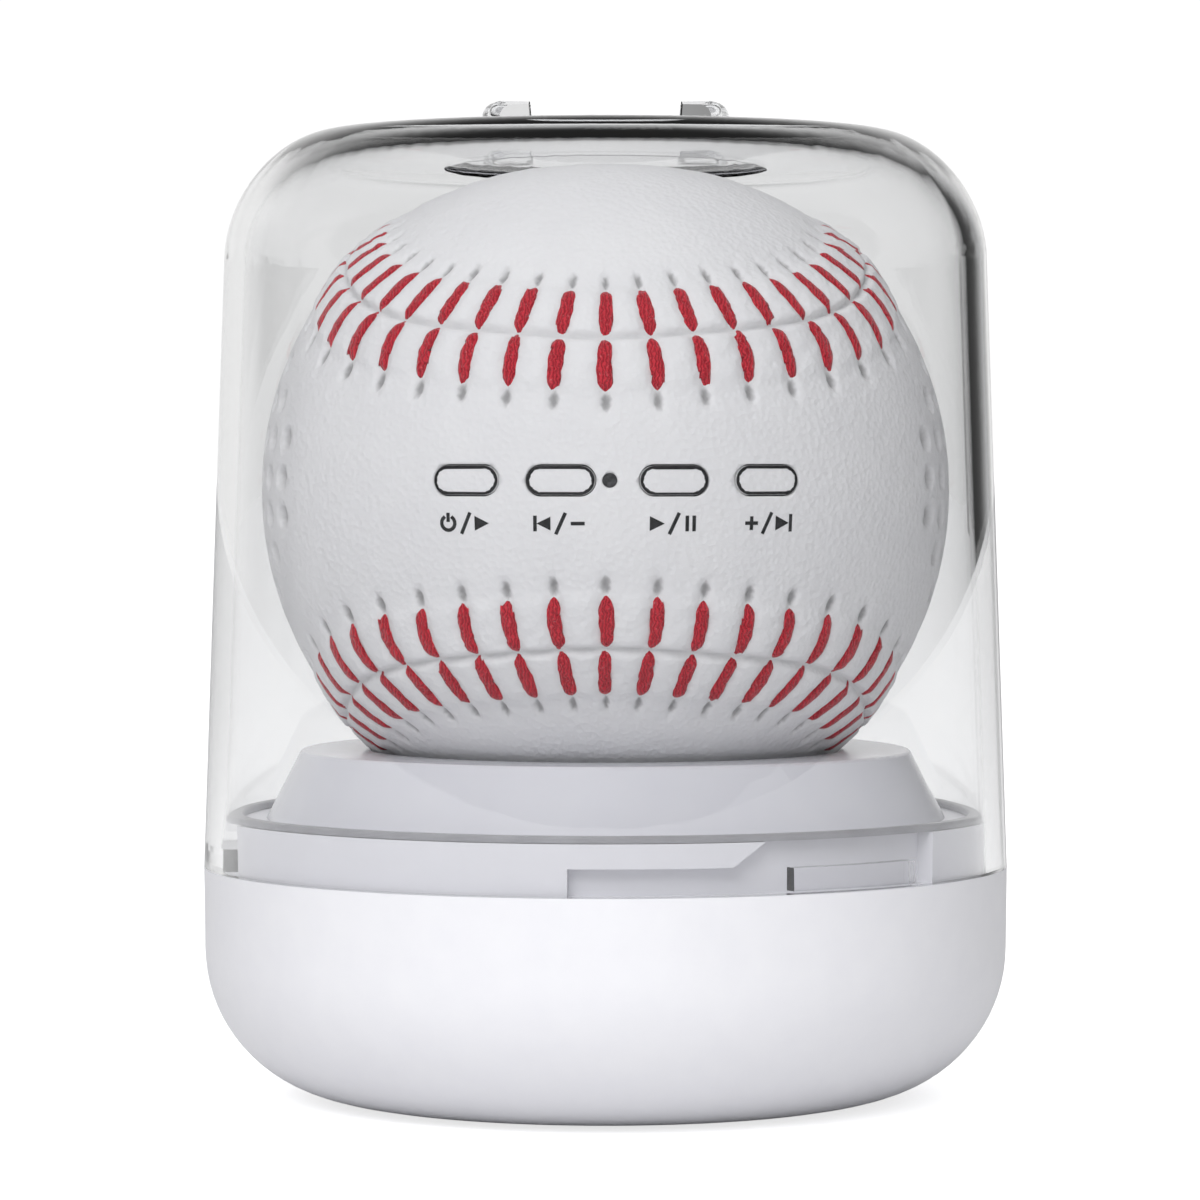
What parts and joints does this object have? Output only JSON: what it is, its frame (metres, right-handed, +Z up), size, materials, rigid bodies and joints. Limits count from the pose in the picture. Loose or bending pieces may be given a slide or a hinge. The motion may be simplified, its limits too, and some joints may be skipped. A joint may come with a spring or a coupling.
{
  "type": "domed display case",
  "caption": "Clear domed display case with a bayonet cover on a white bowl base, holding a baseball-shaped wireless speaker in a cup.",
  "frame": {"origin": "on the case's axis, in the plane of the foot ring's underside", "axes": "+Z up along the case's axis, -Y towards the buttons"},
  "size_m": [0.086, 0.086, 0.1062],
  "materials": {
    "white_satin": "satin white moulded plastic",
    "white_neck": "satin white moulded plastic",
    "white_cup": "glossy white moulded plastic",
    "foot_rubber": "soft grey non-slip",
    "screw_steel": "zinc plated",
    "clear_silicone": "translucent silicone",
    "clear_acrylic": "polished clear plastic",
    "white_leather": "fine pebbled white leather",
    "key_leather": "fine pebbled white leather with a black outline",
    "red_thread": "waxed red thread",
    "black_shell": "black moulded plastic",
    "driver_metal": "black painted steel",
    "cone_paper": "pressed black paper",
    "magnet_plate": "nickel plated",
    "battery_wrap": "shrink wrap",
    "circuit_green": "solder resist",
    "flex_amber": "flexible circuit film",
    "switch_black": "moulded",
    "smoked_lens": "smoked lens",
    "socket_steel": "plated shell"
  },
  "bodies": {
    "base": {"base_bowl": "white_satin", "foot_ring": "foot_rubber", "base_screws": "screw_steel", "base_deck": "white_neck", "ball_cup": "white_cup"},
    "seal": {"dust_seal": "clear_silicone"},
    "cover": {"dome_cover": "clear_acrylic"},
    "ball": {"leather_panel_front": "white_leather", "leather_panel_back": "white_leather", "seam_stitches": "red_thread", "inner_shell_right": "black_shell", "inner_shell_left": "black_shell", "shell_screws": "screw_steel", "driver_frame_right": "driver_metal", "driver_frame_left": "driver_metal", "driver_cone_right": "cone_paper", "driver_cone_left": "cone_paper", "driver_magnet_right": "magnet_plate", "driver_magnet_left": "magnet_plate", "battery": "battery_wrap", "main_board": "circuit_green", "button_board": "flex_amber", "tact_switches": "switch_black", "status_light": "smoked_lens", "usb_socket": "socket_steel"},
    "key_power": {"button_power": "key_leather"},
    "key_volume_down": {"button_volume_down": "key_leather"},
    "key_play": {"button_play": "key_leather"},
    "key_volume_up": {"button_volume_up": "key_leather"}
  },
  "joints": [
    {"name": "cover_twist", "type": "hinge", "parent": "base", "child": "seal", "pos_m": [0, 0, 0.03], "axis": [0, 0, 1], "range_deg": [-28, 0]},
    {"name": "cover_lift", "type": "slide", "parent": "seal", "child": "cover", "axis": [0, 0, 1], "range_m": [0, 0.11]},
    {"name": "ball_lift", "type": "slide", "parent": "base", "child": "ball", "axis": [0, 0, 1], "range_m": [0, 0.045]},
    {"name": "power_press", "type": "slide", "parent": "ball", "child": "key_power", "axis": [0.3776, 0.9252, -0.0366], "range_m": [0, 0.0004], "stiffness_N_per_m": 500},
    {"name": "volume_down_press", "type": "slide", "parent": "ball", "child": "key_volume_down", "axis": [0.1218, 0.9919, -0.0366], "range_m": [0, 0.0004], "stiffness_N_per_m": 500},
    {"name": "play_press", "type": "slide", "parent": "ball", "child": "key_play", "axis": [-0.1838, 0.9823, -0.0366], "range_m": [0, 0.0004], "stiffness_N_per_m": 500},
    {"name": "volume_up_press", "type": "slide", "parent": "ball", "child": "key_volume_up", "axis": [-0.4349, 0.8997, -0.0366], "range_m": [0, 0.0004], "stiffness_N_per_m": 500}
  ],
  "couplings": [
    {"joint": "ball_lift", "follows": "cover_lift", "ratio": 0.4}
  ]
}
